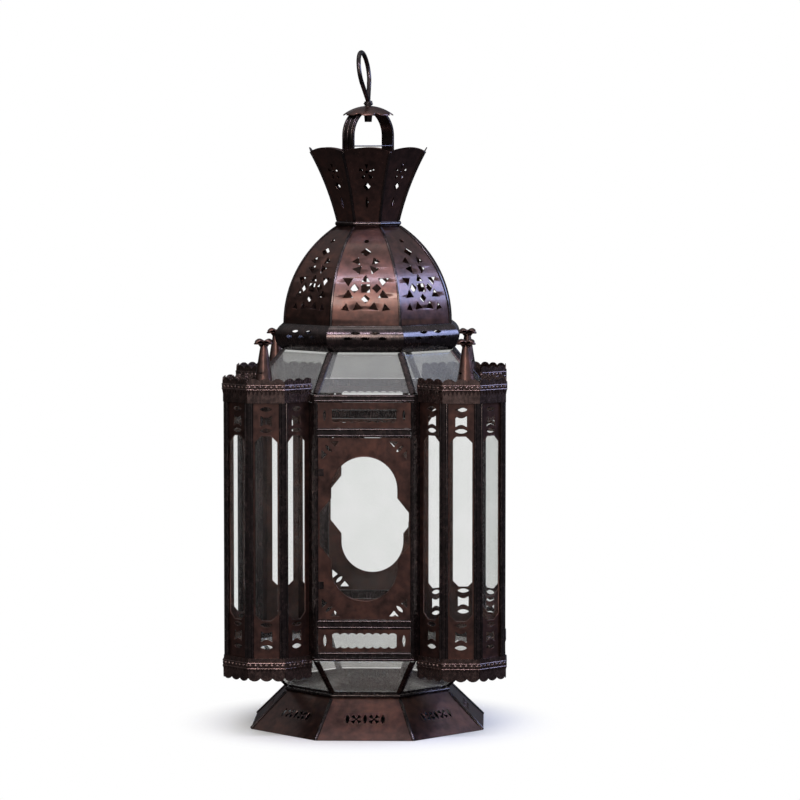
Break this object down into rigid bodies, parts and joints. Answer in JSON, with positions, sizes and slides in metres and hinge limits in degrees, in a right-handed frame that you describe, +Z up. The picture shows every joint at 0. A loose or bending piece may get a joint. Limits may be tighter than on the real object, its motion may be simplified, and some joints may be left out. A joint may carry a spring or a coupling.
{
  "type": "candle lantern",
  "caption": "Octagonal candle lantern of pierced dark copper sheet and glass, with corner bays, a hinged door, a pierced dome, a flared crown and a swivelling hanging loop.",
  "frame": {"origin": "on the floor, at the centre of the foot", "axes": "+Z up along the lantern's axis; -Y towards the face with the door; +X to the right of someone facing the door"},
  "size_m": [0.277, 0.277, 0.6726],
  "materials": {
    "copper_sheet": "hand-pierced sheet with a dark oxidised copper patina, semi-gloss lacquer",
    "dark_strip": "folded strip and wire, darker patina with bright rubbed edges",
    "glass": "clear cut sheet glass, faintly grey",
    "spring": "spring strip, lightly tarnished"
  },
  "bodies": {
    "lantern": {"foot_panels": "copper_sheet", "foot_ribs": "dark_strip", "waist_ring": "dark_strip", "floor_plate": "dark_strip", "drip_pan": "dark_strip", "candle_cup": "dark_strip", "lower_cames": "dark_strip", "lower_panes": "glass", "sill_ring": "dark_strip", "corner_posts": "dark_strip", "right_panel": "copper_sheet", "back_panel": "copper_sheet", "left_panel": "copper_sheet", "transom_panels": "copper_sheet", "apron_panels": "copper_sheet", "face_rails": "dark_strip", "main_panes": "glass", "small_panes": "glass", "lintel_ring": "dark_strip", "door_catch": "spring", "fixed_knuckles": "dark_strip", "hinge_pins": "dark_strip", "upper_cames": "dark_strip", "upper_panes": "glass", "roll_moulding": "dark_strip", "dome_gores": "copper_sheet", "dome_ribs": "dark_strip", "neck_collar": "dark_strip", "crown_panels": "copper_sheet", "crown_ribs": "dark_strip", "crown_plate": "dark_strip", "arch": "dark_strip", "cap": "copper_sheet", "bay_walls_fr": "copper_sheet", "bay_posts_fr": "dark_strip", "bay_panes_fr": "glass", "upper_gallery_fr": "copper_sheet", "lower_gallery_fr": "copper_sheet", "bay_walls_br": "copper_sheet", "bay_posts_br": "dark_strip", "bay_panes_br": "glass", "upper_gallery_br": "copper_sheet", "lower_gallery_br": "copper_sheet", "bay_walls_bl": "copper_sheet", "bay_posts_bl": "dark_strip", "bay_panes_bl": "glass", "upper_gallery_bl": "copper_sheet", "lower_gallery_bl": "copper_sheet", "bay_walls_fl": "copper_sheet", "bay_posts_fl": "dark_strip", "bay_panes_fl": "glass", "upper_gallery_fl": "copper_sheet", "lower_gallery_fl": "copper_sheet", "bay_roofs": "dark_strip", "bay_floors": "dark_strip", "finials": "copper_sheet"},
    "door": {"door_panel": "copper_sheet", "door_pane": "glass", "door_knuckles": "dark_strip"},
    "hanger": {"hanging_loop": "dark_strip"}
  },
  "joints": [
    {"name": "door_hinge", "type": "hinge", "parent": "lantern", "child": "door", "pos_m": [-0.04644, -0.1182, 0.2075], "axis": [0, 0, -1], "range_deg": [0, 105]},
    {"name": "loop_swivel", "type": "hinge", "parent": "lantern", "child": "hanger", "pos_m": [0, 0, 0.61], "axis": [0, 0, 1], "continuous": true}
  ]
}
